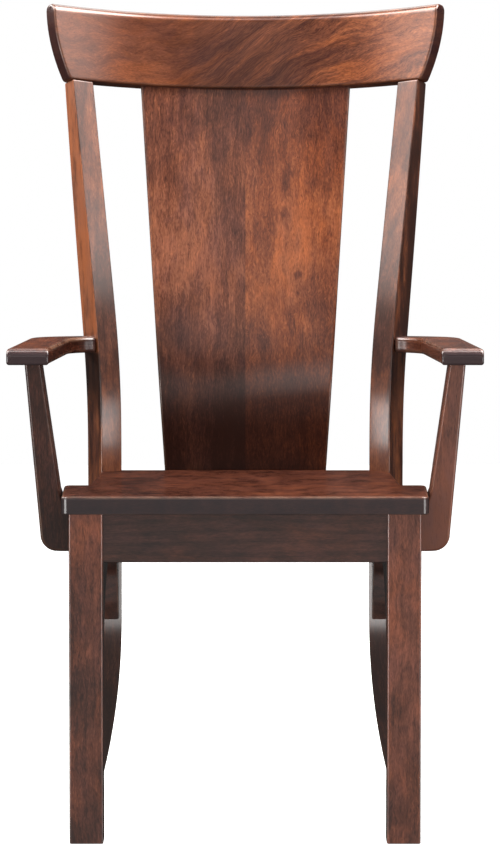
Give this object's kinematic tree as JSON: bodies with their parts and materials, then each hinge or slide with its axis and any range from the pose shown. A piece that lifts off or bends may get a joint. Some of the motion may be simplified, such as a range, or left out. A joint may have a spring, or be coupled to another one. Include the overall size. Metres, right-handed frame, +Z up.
{
  "type": "dining armchair",
  "caption": "Dark stained solid-wood dining armchair with a wide curved splat, concave tilted crest rail, toed-in sabre back posts, level arms and a plank seat.",
  "frame": {"origin": "on the floor, at the middle of the chair's plan box", "axes": "+Z up; the sitter faces -Y, so -Y is the front; +X is to the right of a viewer who faces the chair's front, and left and right in node names are that viewer's"},
  "size_m": [0.637, 0.5812, 1.1259],
  "materials": {
    "crest_wood": "semi-gloss dark stained hardwood, swirled figure",
    "splat_left_wood": "semi-gloss dark stained hardwood, upright grain",
    "splat_right_wood": "semi-gloss dark stained hardwood, upright grain, warmer board",
    "post_wood": "semi-gloss dark stained hardwood",
    "seat_wood": "semi-gloss dark stained hardwood, grain from side to side",
    "apron_wood": "semi-gloss dark stained hardwood",
    "leg_wood": "semi-gloss dark stained hardwood",
    "arm_wood": "semi-gloss dark stained hardwood, paler arrises",
    "block_wood": "sawn hardwood, thin stain",
    "dowel_wood": "bare fluted hardwood",
    "screw_steel": "zinc plated steel"
  },
  "bodies": {
    "root": {"arm_dowel_left": "dowel_wood", "arm_dowel_right": "dowel_wood", "arm_left": "arm_wood", "arm_right": "arm_wood", "arm_screw_left": "screw_steel", "arm_screw_plug_left": "post_wood", "arm_screw_plug_right": "post_wood", "arm_screw_right": "screw_steel", "arm_support_left": "arm_wood", "arm_support_right": "arm_wood", "back_post_left": "post_wood", "back_post_right": "post_wood", "block_screw_front_apron_left": "screw_steel", "block_screw_front_apron_right": "screw_steel", "block_screw_front_side_left": "screw_steel", "block_screw_front_side_right": "screw_steel", "block_screw_rear_apron_left": "screw_steel", "block_screw_rear_apron_right": "screw_steel", "block_screw_rear_side_left": "screw_steel", "block_screw_rear_side_right": "screw_steel", "corner_block_front_left": "block_wood", "corner_block_front_right": "block_wood", "corner_block_rear_left": "block_wood", "corner_block_rear_right": "block_wood", "crest_dowel_left": "dowel_wood", "crest_dowel_right": "dowel_wood", "crest_rail": "crest_wood", "front_apron": "apron_wood", "front_leg_left": "leg_wood", "front_leg_right": "leg_wood", "rear_apron": "apron_wood", "seat_board_front": "seat_wood", "seat_board_middle": "seat_wood", "seat_board_rear": "seat_wood", "seat_screw_front_left": "screw_steel", "seat_screw_front_right": "screw_steel", "seat_screw_rear_left": "screw_steel", "seat_screw_rear_right": "screw_steel", "side_rail_left": "apron_wood", "side_rail_right": "apron_wood", "splat_board_left": "splat_left_wood", "splat_board_right": "splat_right_wood", "support_screw_front_left": "screw_steel", "support_screw_front_right": "screw_steel", "support_screw_rear_left": "screw_steel", "support_screw_rear_right": "screw_steel"}
  },
  "joints": []
}
